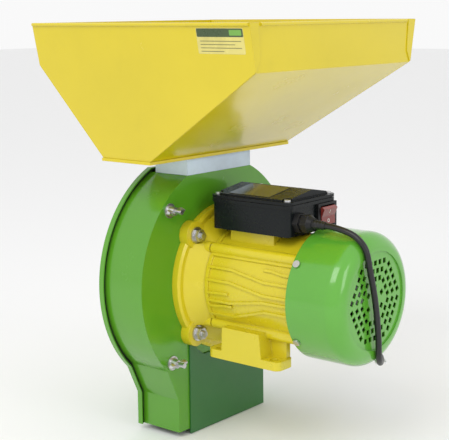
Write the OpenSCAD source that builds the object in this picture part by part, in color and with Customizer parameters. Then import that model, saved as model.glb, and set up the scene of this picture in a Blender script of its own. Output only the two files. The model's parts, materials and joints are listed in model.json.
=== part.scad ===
// Domestic electric hammer mill for grain: a sheet-metal grinding chamber with a
// lift-off front cover, a square hopper with a sliding gate above it, and a
// flange-mounted, fan-cooled motor whose feet carry the whole machine.
// Millimetres. +Z is up and the motor shaft lies along Y. The origin is the centre
// of the four foot holes, on the underside of the motor feet.

/* [Grinding chamber] */
// Outer radius of the round chamber band
drum_r = 139; // [120:1:170]
// Depth of the chamber along the shaft
drum_depth = 60; // [50:1:80]
// Thickness of the rolled band
band_t = 2; // [1.5:0.1:3]
// Thickness of the plate on the motor side
back_t = 2.5; // [2:0.1:4]
// How far the front cover's rim stands out past the band
lip_out = 5.5; // [4:0.1:8]
// Thickness of the pressed front cover
cover_t = 1.5; // [1:0.1:2]
// How far the front cover is dished outwards
dish_h = 8; // [4:1:12]
// Width of the discharge chute at its mouth
chute_w = 160; // [140:1:180]
// Depth of the chute's mouth below the shaft
chute_drop = 178; // [174:1:215]
// Radius of the circle that the cover bolts stand on
cover_bolt_r = 127; // [112:1:128]
// Shank radius of the cover bolts
cover_bolt_shank = 3; // [2.5:0.5:4]

/* [Sieve and rotor] */
// Inner radius of the perforated sieve ring
sieve_r = 104; // [100:1:108]
// Radius of one sieve hole
sieve_hole = 2.5; // [1.5:0.5:4]
// Radius of the two rotor discs
disc_r = 60; // [56:1:64]
// Distance of the hammer pins from the shaft
pin_ring = 48; // [46:1:50]
// Radius of a hammer pin
pin_r = 4; // [3:0.5:5]
// Hammer length from its pin to its striking end
hammer_reach = 46; // [40:1:48]
// Hammer thickness along the shaft
hammer_t = 4; // [3:0.5:4.5]

/* [Motor] */
// Height of the shaft above the underside of the feet
shaft_h = 80; // [78:1:90]
// Outer radius of the mounting flange
flange_r = 88; // [84:1:92]
// Bolt circle diameter of the flange
flange_pcd = 165; // [160:1:200]
// Thickness of the mounting flange
flange_t = 10; // [8:1:12]
// Radius of the finned motor housing without its ribs
housing_r = 64; // [62:1:66]
// Distance from the chamber to the front end of the housing
housing_y = 30; // [28:1:34]
// Length of the motor housing
housing_l = 121; // [110:1:140]
// Outer radius of the stator core
stator_r = 57; // [54:1:58]
// Radius of the motor shaft in its drive-end bearing
shaft_r = 10; // [9:0.5:12]
// Outer radius of the drive-end bearing
bearing_r = 23.5; // [21:0.5:26]
// Outer radius of the fan cover
fan_cover_r = 75; // [73:1:80]
// Length of the fan cover
fan_cover_l = 68; // [62:1:80]
// Corner radius between the fan cover's side and its grille
fan_cover_fillet = 18; // [12:1:20]
// How far the grille is sunk into the end of the fan cover
grille_step = 1.8; // [1:0.1:3]
// Side of one square hole in the grille
grille_hole = 5.6; // [4:0.2:6]
// Distance between two holes in the grille
grille_pitch = 9; // [8:0.1:10]

/* [Feet] */
// Distance between the foot holes across the motor
foot_span_x = 118; // [112:1:124]
// Distance between the foot holes along the motor
foot_span_y = 78; // [70:1:84]
// Radius of a foot hole
foot_hole_r = 5; // [4:0.5:6]
// Thickness of the foot pads
foot_t = 10; // [8:1:14]
// Width across the outer edges of the feet
foot_width = 136; // [132:1:142]
// Length of a foot along the motor
foot_length = 102; // [98:1:110]

/* [Terminal box] */
// Width of the terminal box across the motor
box_w = 90; // [84:1:110]
// Length of the terminal box along the motor
box_l = 110; // [100:1:120]
// Height of the box base
box_h = 35; // [32:1:44]
// Wall thickness of the box
box_wall = 2.5; // [2:0.1:3.5]
// How far the rim of the box and its lid stand out past the walls
box_rim = 1.5; // [1:0.1:2.5]
// Height of the lid's roof at its edges
roof_edge = 5; // [4:0.5:7]
// Height of the lid's roof at its ridge
roof_top = 11.8; // [9:0.1:15]
// Radius of the capacitor
capacitor_r = 13; // [10:0.5:13.5]

/* [Hopper] */
// Width of the hopper rim across the motor
hopper_w = 314; // [280:1:380]
// Reach of the hopper rim over the motor, from the chamber's motor side
hopper_over = 169; // [140:1:190]
// Reach of the hopper rim in front, from the chamber's motor side
hopper_front = 144; // [120:1:170]
// Height of the hopper rim above the shaft
rim_h = 301; // [270:1:365]
// Height of the upright band below the rim
rim_band = 49.5; // [35:1:60]
// Width of the hopper floor
floor_w = 253; // [230:1:270]
// Depth of the hopper floor along the shaft
floor_d = 73; // [70:1:80]
// Sheet thickness of the hopper
hopper_t = 1.5; // [1:0.1:2.5]
// Radius of the bead rolled along the hopper's rim
rim_bead = 1.8; // [1.5:0.1:3]
// Width of the opening in the hopper floor
throat_w = 80; // [60:1:84]
// Depth of the opening in the hopper floor
throat_d = 36; // [26:1:38]
// Width of the white gate block
gate_w = 116; // [112:1:140]
// Depth of the gate block along the shaft
gate_d = 50; // [48:1:54]
// Height of the gate block between the chamber and the hopper
gate_h = 21.7; // [18:0.1:30]
// Thickness of the sliding gate plate
slide_t = 1.5; // [1:0.1:1.6]

/* [Power lead] */
// Diameter of the power lead
cord_d = 7; // [6:0.5:8]

/* [Hidden] */
$fn = 64;
eps = 0.01;
fit = 0.05;
loose = 0.3;
face_y = -86;
drum_top = sqrt(drum_r ^ 2 - (gate_w / 2) ^ 2);
knee_z = 1 - drum_r;
knee_w = chute_w / 2;
shoulder = drum_r * cos(45);
flange_bolt = flange_pcd / 2 * cos(45);
cover_bolt = cover_bolt_r * cos(45);
cover_bolt_hole = cover_bolt_shank + 0.3;
plate_y = -drum_depth - cover_t;
spigot_r = 60;
dish_r = 112;
panel_left = 61;
panel_drop = 6;
sieve_t = 1.5;
throat_y = -gate_d / 2 - 2;
// Rotor, measured along the shaft from the chamber's motor side
disc_t = 4;
disc_gap = 26;
rotor_back = -back_t - 9.5;
rotor_front = rotor_back - 2 * disc_t - disc_gap;
hub_r = 21;
shaft_front = rotor_front - 14;
hammer_w = 14;
key_w = 5;
// Motor, from the chamber's motor side
housing_end = housing_y + housing_l;
core_y = housing_y + 26;
core_l = housing_l - 53;
shield_t = 6;
rear_shaft_r = 8.5;
rear_bearing_r = 20;
bearing_w = 14;
rear_bearing_w = 12;
fan_y = housing_end + 14;
fan_l = 28;
fan_r = 62;
cover_y = housing_end + 1;
cover_end = cover_y + fan_cover_l;
cover_sheet = 1.5;
grille_r = fan_cover_r - fan_cover_fillet - 2;
lug_angles = [35, 145, 215, 325];
foot_mid = -face_y;
foot_inner = 38;
boss_r = 6.5;
boss_ring = 67;
boss_angle = 42;
// Set-back of a boss's end from the joint between two castings
seam = 0.8;
foot_out = foot_width / 2;
// Ribs on each side of the housing: angle above the shaft at the front and at the back
RIBS = [[22, 15], [9, 2], [-28, -15], [-12, -5]];
// Terminal box, heights from the shaft
pedestal_z = 64.5;
gasket_t = 2;
box_z = pedestal_z + gasket_t;
box_top = box_z + box_h;
box_y = 24.5;
box_end = box_y + box_l;
box_mid = box_y + box_l / 2;
// Room left round the terminal box in the casting beside it
box_clear = 1;
box_r = 7;
lid_z = box_top + 1;
post_h = 10;
lid_screw_l = 6;
ridge_x = -6;
roof_half = box_w / 2 - 3;
roof_slope = atan((roof_top - roof_edge) / (roof_half - ridge_x));
switch_x = -25;
switch_z = box_z + 16.5;
switch_w = 36;
switch_h = 29;
rocker_r = 11.5;
rocker_w = 26;
gland_x = 28;
gland_z = 82;
// Hopper, heights from the shaft
block_top = drum_top + gate_h;
floor_top = block_top + hopper_t;
rise = rim_h - floor_top;
lean = atan((hopper_w - floor_w) / 2 / rise);
lean_len = rise / cos(lean);
band_foot = rim_h - rim_band;
floor_near = 6;
floor_far = floor_near - floor_d;
slide_half = throat_w / 2 + 4;
slide_out = 100;
slide_z = block_top - 0.3 - slide_t;
fold_in = 0.25;
tab_t = 1.2;

// Chosen points of the lead from its strain relief to the coil, in the machine's
// own frame, and the coil's centre and size on the plane of the feet
LEAD = [
    [28, 86, 162], [28, 93, 161.8], [28, 100, 161], [28, 107, 159.8], [28, 113, 158.5],
    [27.5, 119, 156.6], [27, 124.5, 153.9], [27, 129.3, 150.3], [26.3, 133.6, 145.6],
    [25.5, 136.4, 139.8], [24.5, 137.8, 133.5], [23, 138, 127], [20.5, 138.2, 118],
    [17, 138.4, 107], [13, 138.6, 94], [9.5, 138.8, 80], [7, 139, 66], [5, 139.2, 52],
    [3.8, 139.4, 41], [3, 139.4, 33], [1.4, 138.6, 23.3], [-1.7, 137.1, 16.6],
    [-6.4, 134.8, 11], [-12, 132, 6.9], [-18.6, 128.8, 4.6], [-26, 125, 4.2],
    [-34, 120, 4.2], [-42, 113.5, 4.2], [-49.5, 105.5, 4.2], [-56, 96.5, 4.2],
    [-61.5, 86.5, 4.2], [-66, 76, 4.2], [-69.8, 65, 4.2], [-72.8, 53.5, 4.2],
    [-75, 42, 4.2], [-76.6, 30, 4.5], [-78, 17, 4.7]];
COIL = [-123.5, 4];
coil_in = 28;
coil_out = 49;
coil_low = 1.2;
coil_high = 15.2;
PLUG = [-190, -38, 17];
TAIL = [[-123.5, -38, 11.7], [-133, -38, 12.6], [-142, -38, 15.2], [-150, -38, 17]];

// ---- shared shapes -------------------------------------------------------------

module on_shaft() translate([0, face_y, shaft_h]) children();

// A round bar along the shaft direction
module bar(r, y0, y1, x = 0, z = 0, sides = $fn)
    translate([x, y0, z]) rotate([-90, 0, 0]) cylinder(r = r, h = y1 - y0, $fn = sides);

// A bar that goes from one radius to another
module taper(r0, r1, y0, y1, x = 0, z = 0)
    translate([x, y0, z]) rotate([-90, 0, 0]) cylinder(r1 = r0, r2 = r1, h = y1 - y0);

// A flat outline in X and Z, given a thickness along the shaft
module slab(y0, y1)
    translate([0, y1, 0]) rotate([90, 0, 0]) linear_extrude(y1 - y0) children();

// Turns its children about the shaft
module turned(angle) rotate([0, -angle, 0]) children();

module ring(r_out, r_in, y0, y1, x = 0, z = 0)
    difference() {
        bar(r_out, y0, y1, x, z);
        bar(r_in, y0 - 1, y1 + 1, x, z);
    }

// A rectangle with round corners, centred
module round_rect(w, d, r) {
    square([w - 2 * r, d], center = true);
    square([w, d - 2 * r], center = true);
    for (x = [-1, 1], y = [-1, 1])
        translate([x * (w / 2 - r), y * (d / 2 - r)]) circle(r = r);
}

// The chamber's outline with its chute and the flat that carries the gate block,
// grown or shrunk by a distance
module outline(grow, extra = 0) {
    intersection() {
        circle(r = drum_r + grow, $fn = 128);
        translate([-2 * drum_r, -2 * drum_r])
            square([4 * drum_r, 2 * drum_r + drum_top + grow]);
    }
    polygon([[-shoulder - grow, -shoulder], [shoulder + grow, -shoulder],
        [knee_w + grow, knee_z], [knee_w + grow, -chute_drop - extra],
        [-knee_w - grow, -chute_drop - extra], [-knee_w - grow, knee_z]]);
}

module at_flange_bolts()
    for (x = [-1, 1], z = [-1, 1]) translate([x * flange_bolt, 0, z * flange_bolt]) children();

module at_tie_screws()
    for (a = [boss_angle, 180 - boss_angle, 180 + boss_angle, 360 - boss_angle])
        turned(a) children();

module at_cover_bolts()
    for (x = [-1, 1], z = [-1, 1]) translate([x * cover_bolt, 0, z * cover_bolt]) children();

// ---- grinding chamber ----------------------------------------------------------

module chamber_shell() {
    color([0.33, 0.60, 0.22]) on_shaft() difference() {
        union() {
            slab(-back_t, 0) outline(0);
            slab(-drum_depth, -back_t + eps) difference() {
                outline(0);
                outline(-band_t, 20);
            }
            // seat that centres the sieve
            ring(sieve_r + sieve_t + 3.5, sieve_r + sieve_t + 0.5, -back_t - 6, -back_t + eps);
        }
        bar(spigot_r + 0.2, -back_t - 1, 1);
        at_flange_bolts() bar(4.5, -back_t - 1, 1);
        at_cover_bolts() bar(cover_bolt_hole, -back_t - 1, 1);
        translate([-throat_w / 2, throat_y - throat_d / 2, drum_top - 10])
            cube([throat_w, throat_d, 20]);
    }
}

module chute_panel() {
    color([0.14, 0.33, 0.17]) on_shaft() slab(loose / 10, 2)
        difference() {
            polygon([[panel_left, -flange_r * 0.72], [panel_left, -chute_drop - panel_drop],
                [-knee_w, -chute_drop - panel_drop], [-knee_w, -136], [-64, -112], [-50, -97],
                [-36, -91], [36, -91], [46, -84]]);
            circle(r = flange_r + 0.5);
            for (x = [-1, 1]) translate([x * flange_bolt, -flange_bolt]) circle(r = 17);
        }
}

module front_cover() {
    color([0.36, 0.64, 0.24]) on_shaft() difference() {
        union() {
            slab(plate_y, -drum_depth) cover_outline(lip_out);
            slab(-drum_depth - eps, -drum_depth + 5) difference() {
                cover_outline(lip_out);
                outline(lip_out - 1.5);
            }
            bar(dish_r, plate_y - dish_h, plate_y + eps);
            for (a = [0:45:315]) turned(a + 22.5)
                translate([34, plate_y - dish_h - 1.6, -4]) cube([58, 1.7, 8]);
            ring(30, 24, plate_y - dish_h - 1.6, plate_y - dish_h + eps);
        }
        bar(dish_r - cover_t, plate_y - dish_h + cover_t, -drum_depth + 1);
        at_cover_bolts() bar(cover_bolt_hole, plate_y - 1, -drum_depth + 1);
    }
}
// The cover's outline, cut off level with the chute's mouth
module cover_outline(grow)
    intersection() {
        outline(grow);
        translate([-drum_r * 2, -chute_drop]) square([drum_r * 4, drum_r * 4]);
    }

module cover_seal() {
    color([0.05, 0.10, 0.06]) on_shaft() slab(-drum_depth, -drum_depth + 3) difference() {
        cover_outline(lip_out - 1.5 - fit);
        outline(loose + 0.1);
    }
}

module cover_bolts() {
    color([0.75, 0.75, 0.76]) on_shaft() at_cover_bolts() {
        bar(cover_bolt_shank, plate_y - 3, 19);
        bar(6.5, plate_y - 4, plate_y - fit, sides = 6);
        ring(8, cover_bolt_shank, -back_t - 1.4, -back_t - 0.2);
    }
}

// A wing nut with its washer
module wing_nut(sx, sz) {
    color([0.80, 0.80, 0.82]) on_shaft() translate([sx * cover_bolt, 0, sz * cover_bolt])
        difference() {
            union() {
                bar(8.5, 0.05, 1.3);
                taper(6, 4.8, 1.2, 9);
                for (s = [-1, 1]) hull() {
                    translate([s * 4, 3.6, 0]) cube([2, 4, 2.4], center = true);
                    bar(3.6, 8, 8.1, s * 10, 0, 16);
                    translate([s * 10, 12, 0]) cube([6, 0.2, 2.2], center = true);
                }
            }
            bar(cover_bolt_shank + fit, -1, 20);
        }
}
module wing_nut_a() wing_nut(1, 1);
module wing_nut_b() wing_nut(1, -1);
module wing_nut_c() wing_nut(-1, 1);
module wing_nut_d() wing_nut(-1, -1);

module sieve() {
    color([0.62, 0.63, 0.64]) on_shaft() difference() {
        ring(sieve_r + sieve_t, sieve_r, -drum_depth + loose, -back_t);
        for (a = [12:12:360], y = [-46, -31, -16])
            turned(a) translate([sieve_r - 3, y, 0]) rotate([0, 90, 0])
                cylinder(r = sieve_hole, h = 8, $fn = 24);
        translate([-throat_w / 2 - 2, throat_y - throat_d / 2, 60])
            cube([throat_w + 4, throat_d, 60]);
    }
}

// ---- rotor and hammers ---------------------------------------------------------

module at_pins() for (a = [0:90:270]) turned(a) translate([pin_ring, 0, 0]) children();

module rotor_hub() {
    color([0.45, 0.45, 0.47]) on_shaft() difference() {
        union() {
            bar(hub_r, rotor_front, rotor_back);
            bar(disc_r, rotor_front, rotor_front + disc_t);
            bar(disc_r, rotor_back - disc_t, rotor_back);
        }
        bar(shaft_r - 1, rotor_front - 1, rotor_back + 1);
        at_pins() bar(pin_r, rotor_front - 1, rotor_back + 1);
        translate([-key_w / 2, rotor_front - 1, 0])
            cube([key_w, rotor_back - rotor_front + 2, shaft_r + 1.5]);
    }
}

module hammer_pins() {
    color([0.70, 0.70, 0.72]) on_shaft() at_pins() {
        bar(pin_r, rotor_front - 2, rotor_back + 2);
        bar(pin_r + 2, rotor_back + fit, rotor_back + 2.5);
        bar(pin_r + 2, rotor_front - 2.5, rotor_front - fit);
    }
}

// Three hammers that swing together on one pin
module hammer_row(angle) {
    step = (disc_gap - 3 * hammer_t) / 4;
    color([0.55, 0.55, 0.57]) on_shaft() turned(angle) for (i = [0:2])
        translate([pin_ring, rotor_front + disc_t + step + i * (hammer_t + step), 0])
            difference() {
                union() {
                    bar(hammer_w / 2, 0, hammer_t);
                    translate([0, 0, -hammer_w / 2]) cube([hammer_reach, hammer_t, hammer_w]);
                }
                bar(pin_r + 0.08, -1, hammer_t + 1);
            }
}
module hammers_a() hammer_row(0);
module hammers_b() hammer_row(90);
module hammers_c() hammer_row(180);
module hammers_d() hammer_row(270);

module rotor_key() {
    color([0.60, 0.60, 0.62]) on_shaft()
        translate([-key_w / 2, rotor_front + 4, shaft_r - 1 - 2.5])
            cube([key_w, rotor_back - rotor_front - 8, 5]);
}

module rotor_nut() {
    color([0.72, 0.72, 0.74]) on_shaft() {
        ring(17, shaft_r - 2, rotor_front - 2, rotor_front - fit);
        difference() {
            bar(13, rotor_front - 11, rotor_front - 2, sides = 6);
            bar(shaft_r - 2, rotor_front - 12, rotor_front);
        }
    }
}

// ---- motor ---------------------------------------------------------------------

module motor_shaft() {
    color([0.68, 0.69, 0.70]) on_shaft() difference() {
        union() {
            bar(shaft_r - 2, shaft_front, rotor_front + eps);
            bar(shaft_r - 1, rotor_front, rotor_back + eps);
            bar(shaft_r, rotor_back, housing_y + 6);
            bar(shaft_r + 4, housing_y + 6 - eps, housing_end - 14);
            bar(rear_shaft_r, housing_end - 14 - eps, fan_y + fan_l + 5);
        }
        translate([-key_w / 2, rotor_front + 4, shaft_r - 1 - 2.5])
            cube([key_w, rotor_back - rotor_front - 8, 5]);
    }
}

module rotor_core() {
    color([0.50, 0.51, 0.53]) on_shaft() {
        ring(34, shaft_r + 4, core_y, core_y + core_l);
        ring(33, 25, core_y - 6, core_y - eps);
        ring(33, 25, core_y + core_l + eps, core_y + core_l + 6);
    }
}

module stator_core() {
    color([0.42, 0.42, 0.44]) on_shaft() ring(stator_r, 34.6, core_y, core_y + core_l);
}

module stator_windings() {
    color([0.72, 0.36, 0.16]) on_shaft() {
        ring(stator_r - 7, 36, core_y - 15, core_y - eps);
        ring(stator_r - 7, 36, core_y + core_l + eps, core_y + core_l + 15);
    }
}

module drive_bearing() {
    color([0.70, 0.71, 0.73]) on_shaft()
        ring(bearing_r, shaft_r + fit, flange_t, flange_t + bearing_w);
}

module rear_bearing() {
    color([0.70, 0.71, 0.73]) on_shaft()
        ring(rear_bearing_r, rear_shaft_r + fit, housing_end - rear_bearing_w, housing_end);
}

module shaft_seal() {
    color([0.10, 0.10, 0.10]) on_shaft() ring(18, shaft_r + fit, -1, 6);
}

module drive_flange() {
    color([0.87, 0.76, 0.16]) on_shaft() difference() {
        union() {
            bar(flange_r, 0, flange_t - 2);
            taper(flange_r, flange_r - 3, flange_t - 2 - eps, flange_t);
            bar(spigot_r, -back_t - 1.5, 1);
            at_flange_bolts() bar(16, 0, flange_t + 2);
            taper(flange_r - 8, housing_r, flange_t - eps, housing_y);
            at_tie_screws() bar(boss_r, flange_t - 1, housing_y - seam, boss_ring - 1);
        }
        at_flange_bolts() bar(4.5, -1, flange_t + 3);
        at_flange_bolts() bar(10, flange_t + 2, flange_t + 26);
        bar(18, -1, 6);
        bar(shaft_r + 1.5, -back_t - 2, flange_t + 1);
        bar(bearing_r, flange_t, housing_y + 1);
        at_tie_screws() bar(2.6, -back_t - 2, housing_y + 1, boss_ring);
        translate([-box_w / 2 - box_clear, box_y - box_clear, box_z - box_clear])
            cube([box_w + 2 * box_clear, box_l, box_h]);
        difference() {
            bar(spigot_r - 8, flange_t + 6, housing_y + 1);
            bar(bearing_r + 5, flange_t, housing_y + 2);
        }
    }
}

module flange_bolts() {
    color([0.78, 0.78, 0.80]) on_shaft() at_flange_bolts() {
        bar(4, -back_t - 5, flange_t + 14);
        bar(7.5, -back_t - 6, -back_t - fit, sides = 6);
        ring(9.5, 4, flange_t + 2 + fit, flange_t + 4);
        difference() {
            bar(7.5, flange_t + 4, flange_t + 10.5, sides = 6);
            bar(4, flange_t + 3, flange_t + 12);
        }
    }
}

// One rib that shifts sideways part of the way along the housing
module rib(a0, a1, y0, y1, high = 2.4, thick = 3.2) {
    y2 = y0 + (y1 - y0) * 0.3;
    y3 = y0 + (y1 - y0) * 0.7;
    am = (a0 + a1) / 2;
    shift = housing_r * (a1 - a0) * PI / 180;
    turned(a0) translate([housing_r - 2, y0, -thick / 2]) cube([high + 2, y2 - y0, thick]);
    turned(a1) translate([housing_r - 2, y3, -thick / 2]) cube([high + 2, y1 - y3, thick]);
    turned(am) translate([housing_r - 2, (y2 + y3) / 2, 0])
        rotate([atan(shift / (y3 - y2)), 0, 0])
            translate([0, -(y3 - y2) / 2 - 1, -thick / 2])
                cube([high + 1.8, y3 - y2 + 2, thick]);
}

module motor_housing() {
    color([0.89, 0.79, 0.17]) on_shaft() difference() {
        union() {
            bar(housing_r, housing_y + fit, housing_end - fit);
            bar(housing_r + 2, housing_y + fit, housing_y + 5);
            for (s = [1, -1]) scale_side(s) {
                for (r = RIBS) rib(r[0], r[1], housing_y + 2, housing_end - 4);
                rib(boss_angle - 7, boss_angle - 7, housing_y + 2, housing_end - 4);
                rib(27, 25, housing_y + 80, housing_end - 4);
                rib(-4, -3, housing_y + 2, housing_y + 34);
                rib(-18, -16, housing_y + 2, housing_y + 38);
                foot();
            }
            at_tie_screws() bar(boss_r, housing_y + seam, housing_end - fit, boss_ring - 1);
            translate([-36, box_mid - 34, housing_r - 16])
                cube([72, 62, pedestal_z - housing_r + 16]);
        }
        bar(stator_r, housing_y - 1, housing_end + 1);
        translate([0, box_mid - 8, stator_r - 8]) cylinder(r = 12, h = 40);
        at_tie_screws() bar(2.6, housing_y - 1, housing_end + 1, boss_ring);
        for (x = [-1, 1], y = [-1, 1])
            translate([x * foot_span_x / 2, foot_mid + y * foot_span_y / 2, -shaft_h - 1])
                cylinder(r = foot_hole_r, h = foot_t + 2);
    }
}

// Mirrors its children to the other side of the motor
module scale_side(s) mirror([s < 0 ? 1 : 0, 0, 0]) children();

// One foot: a pad with a cast block that carries the housing
module foot() {
    translate([0, foot_mid, -shaft_h]) linear_extrude(foot_t)
        translate([(foot_inner + foot_out) / 2, 0])
            round_rect(foot_out - foot_inner, foot_length, 8);
    translate([foot_inner + 2, 0, 0]) rotate([90, 0, 90]) linear_extrude(foot_out - foot_inner - 2)
        polygon([[foot_mid - 30, -shaft_h + foot_t - 1], [foot_mid - 29, -42],
            [foot_mid + 24, -42], [foot_mid + 27, -shaft_h + foot_t - 1]]);
    translate([foot_inner + 2, foot_mid - foot_length / 2 + 4, -shaft_h + foot_t - 1])
        cube([7, foot_length - 8, shaft_h - foot_t - 46]);
}

module rear_shield() {
    color([0.70, 0.71, 0.72]) on_shaft() difference() {
        union() {
            bar(housing_r, housing_end, housing_end + shield_t);
            bar(rear_bearing_r + 5, housing_end - 13, housing_end + 1);
            for (a = lug_angles) turned(a)
                translate([housing_r - 8, housing_end, -6])
                    cube([fan_cover_r - cover_sheet - housing_r + 8 - loose, 13, 12]);
            at_tie_screws() bar(boss_r - 0.5, housing_end, housing_end + shield_t, boss_ring - 1);
        }
        bar(rear_bearing_r, housing_end - 14, housing_end);
        bar(rear_shaft_r + 1.5, housing_end - 1, housing_end + shield_t + 1);
        at_tie_screws() {
            bar(2.6, housing_end - 1, housing_end + shield_t + 1, boss_ring);
            bar(5.2, housing_end + shield_t, housing_end + shield_t + 20, boss_ring);
        }
        for (a = lug_angles) turned(a) translate([housing_r - 6, housing_end + 7, 0])
            rotate([0, 90, 0]) cylinder(r = 2, h = 30);
    }
}

module tie_screws() {
    color([0.74, 0.74, 0.76]) on_shaft()
        at_tie_screws() {
            bar(2.5, flange_t - 1, housing_end + shield_t + 2, boss_ring);
            bar(4.4, housing_end + shield_t + fit, housing_end + shield_t + 4, boss_ring);
        }
}

module cooling_fan() {
    color([0.12, 0.12, 0.13]) on_shaft() difference() {
        union() {
            bar(15, fan_y, fan_y + fan_l);
            bar(fan_r - 4, fan_y, fan_y + 2.5);
            for (a = [0:45:315]) turned(a)
                translate([12, fan_y + 1, -1.2]) cube([fan_r - 12, fan_l - 3, 2.4]);
        }
        bar(rear_shaft_r, fan_y - 1, fan_y + fan_l + 1);
    }
}

module fan_clip() {
    color([0.25, 0.25, 0.26]) on_shaft() difference() {
        ring(12.5, rear_shaft_r, fan_y + fan_l + fit, fan_y + fan_l + 1.3);
        translate([8, fan_y + fan_l - 1, -2]) cube([8, 4, 4]);
    }
}

// Half of the fan cover's section, from the shaft outwards, rim at zero
module cover_section(r, fillet, long) {
    square([r, long - fillet]);
    square([r - fillet, long]);
    translate([r - fillet, long - fillet]) intersection() {
        circle(r = fillet);
        square([fillet, fillet]);
    }
}

// Square ventilation holes in six sectors, each with a grid of its own direction
module grille() {
    for (k = [0:5]) rotate(k * 60 + 30)
        for (i = [0:3]) {
            u = 15 + i * grille_pitch;
            n = floor((2 * u * tan(30) - grille_hole) / grille_pitch + 0.6);
            for (j = [0:n - 1])
                translate([u, (j - (n - 1) / 2) * grille_pitch])
                    square([grille_hole, grille_hole], center = true);
        }
}

module fan_cover() {
    color([0.43, 0.74, 0.29]) on_shaft() difference() {
        translate([0, cover_y, 0]) rotate([-90, 0, 0]) rotate_extrude($fn = 96) difference() {
            cover_section(fan_cover_r, fan_cover_fillet, fan_cover_l);
            translate([0, fan_cover_l - grille_step]) square([grille_r, grille_step + 1]);
            difference() {
                translate([0, -cover_sheet]) cover_section(fan_cover_r - cover_sheet,
                    fan_cover_fillet - cover_sheet, fan_cover_l);
                translate([0, fan_cover_l - grille_step - cover_sheet])
                    square([grille_r + cover_sheet, grille_step + cover_sheet]);
            }
        }
        slab(cover_end - 5, cover_end + 1) grille();
        for (a = lug_angles) turned(a)
            translate([fan_cover_r - 4, housing_end + 7, 0]) rotate([0, 90, 0])
                cylinder(r = 2.4, h = 8);
    }
}

module fan_cover_screws() {
    color([0.80, 0.80, 0.82]) on_shaft() for (a = lug_angles) turned(a)
        translate([0, housing_end + 7, 0]) rotate([0, 90, 0]) {
            translate([0, 0, fan_cover_r - 12]) cylinder(r = 1.9, h = 12.5);
            translate([0, 0, fan_cover_r + 0.3]) cylinder(r = 4.2, h = 2.2);
        }
}

// ---- terminal box --------------------------------------------------------------

module box_gasket() {
    color([0.08, 0.08, 0.08]) on_shaft() translate([-36, box_mid - 34, pedestal_z])
        difference() {
            cube([72, 66, gasket_t]);
            translate([36, 26, -1]) cylinder(r = 12, h = 5);
        }
}

module box_base() {
    color([0.09, 0.10, 0.11]) on_shaft() difference() {
        union() {
            translate([0, box_mid, box_z]) linear_extrude(box_h) difference() {
                round_rect(box_w, box_l, box_r);
                round_rect(box_w - 2 * box_wall, box_l - 2 * box_wall, box_r - box_wall);
            }
            translate([0, box_mid, box_z]) linear_extrude(box_wall)
                round_rect(box_w, box_l, box_r);
            translate([0, box_mid, box_top - 3.8]) linear_extrude(3.8) difference() {
                round_rect(box_w + 2 * box_rim, box_l + 2 * box_rim, box_r + box_rim);
                round_rect(box_w - 1, box_l - 1, box_r);
            }
            for (x = [-1, 1], y = [-1, 1])
                translate([x * (box_w / 2 - 6), box_mid + y * (box_l / 2 - 6), box_top - post_h])
                    cylinder(r = 5, h = post_h);
        }
        translate([0, box_mid - 8, box_z - 1]) cylinder(r = 12, h = 6);
        for (x = [-1, 1], y = [-1, 1])
            translate([x * (box_w / 2 - 6), box_mid + y * (box_l / 2 - 6), box_top - post_h + 1])
                cylinder(r = 1.8, h = 20);
        translate([switch_x - 15, box_end - 21, switch_z - 12]) cube([30, 25, 24]);
        bar(7.6, box_end - 10, box_end + 2, gland_x, gland_z);
    }
}

module lid_gasket() {
    color([0.06, 0.06, 0.06]) on_shaft() translate([0, box_mid, box_top]) linear_extrude(1)
        difference() {
            round_rect(box_w - 1, box_l - 1, box_r);
            round_rect(box_w - 10, box_l - 10, box_r);
            for (x = [-1, 1], y = [-1, 1])
                translate([x * (box_w / 2 - 6), y * (box_l / 2 - 6)]) circle(r = 2);
        }
}

// The lid's middle is a shallow roof whose ridge lies off the box's centre line
module box_lid() {
    color([0.10, 0.11, 0.12]) on_shaft() difference() {
        union() {
            translate([0, box_mid, lid_z]) linear_extrude(3)
                round_rect(box_w + 2 * box_rim, box_l + 2 * box_rim, box_r + box_rim);
            slab(box_y + 4, box_end - 4) polygon([[-roof_half, lid_z + 1],
                [roof_half, lid_z + 1], [roof_half, lid_z + roof_edge],
                [ridge_x, lid_z + roof_top], [-roof_half, lid_z + roof_edge]]);
        }
        translate([-box_w / 2 + 18, box_y + 14, lid_z - 1]) cube([box_w - 36, box_l - 28, 5]);
        for (x = [-1, 1], y = [-1, 1])
            translate([x * (box_w / 2 - 6), box_mid + y * (box_l / 2 - 6), lid_z]) {
                translate([0, 0, -1]) cylinder(r = 2.2, h = 20);
                translate([0, 0, 3]) cylinder(r = 6, h = 20);
            }
    }
}

// A rating plate on the roof's wide slope
module lid_plate() {
    color([0.80, 0.80, 0.74]) on_shaft() translate([ridge_x, 0, lid_z + roof_top])
        rotate([0, roof_slope, 0]) translate([4, box_y + 21, fit])
            cube([roof_half - ridge_x - 7, 57, 0.4]);
}

module lid_screws() {
    color([0.80, 0.80, 0.82]) on_shaft() for (x = [-1, 1], y = [-1, 1])
        translate([x * (box_w / 2 - 6), box_mid + y * (box_l / 2 - 6), 0]) {
            translate([0, 0, box_top - lid_screw_l]) cylinder(r = 1.7, h = lid_screw_l + 6);
            translate([0, 0, lid_z + 3 + fit]) cylinder(r = 3.8, h = 2.2);
        }
}

module capacitor() {
    color([0.85, 0.85, 0.83]) on_shaft() {
        bar(capacitor_r, box_y + 20, box_y + 72, -25, box_z + box_wall + capacitor_r + 0.1);
        bar(capacitor_r - 3, box_y + 72, box_y + 75, -25, box_z + box_wall + capacitor_r + 0.1);
    }
}

module terminal_block() {
    color([0.80, 0.78, 0.68]) on_shaft() difference() {
        translate([12, box_y + 72, box_z + box_wall]) cube([26, 20, 12]);
        for (i = [0:2]) translate([17 + 8 * i, box_y + 82, box_z + 8]) cylinder(r = 2.5, h = 10);
    }
}

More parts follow.
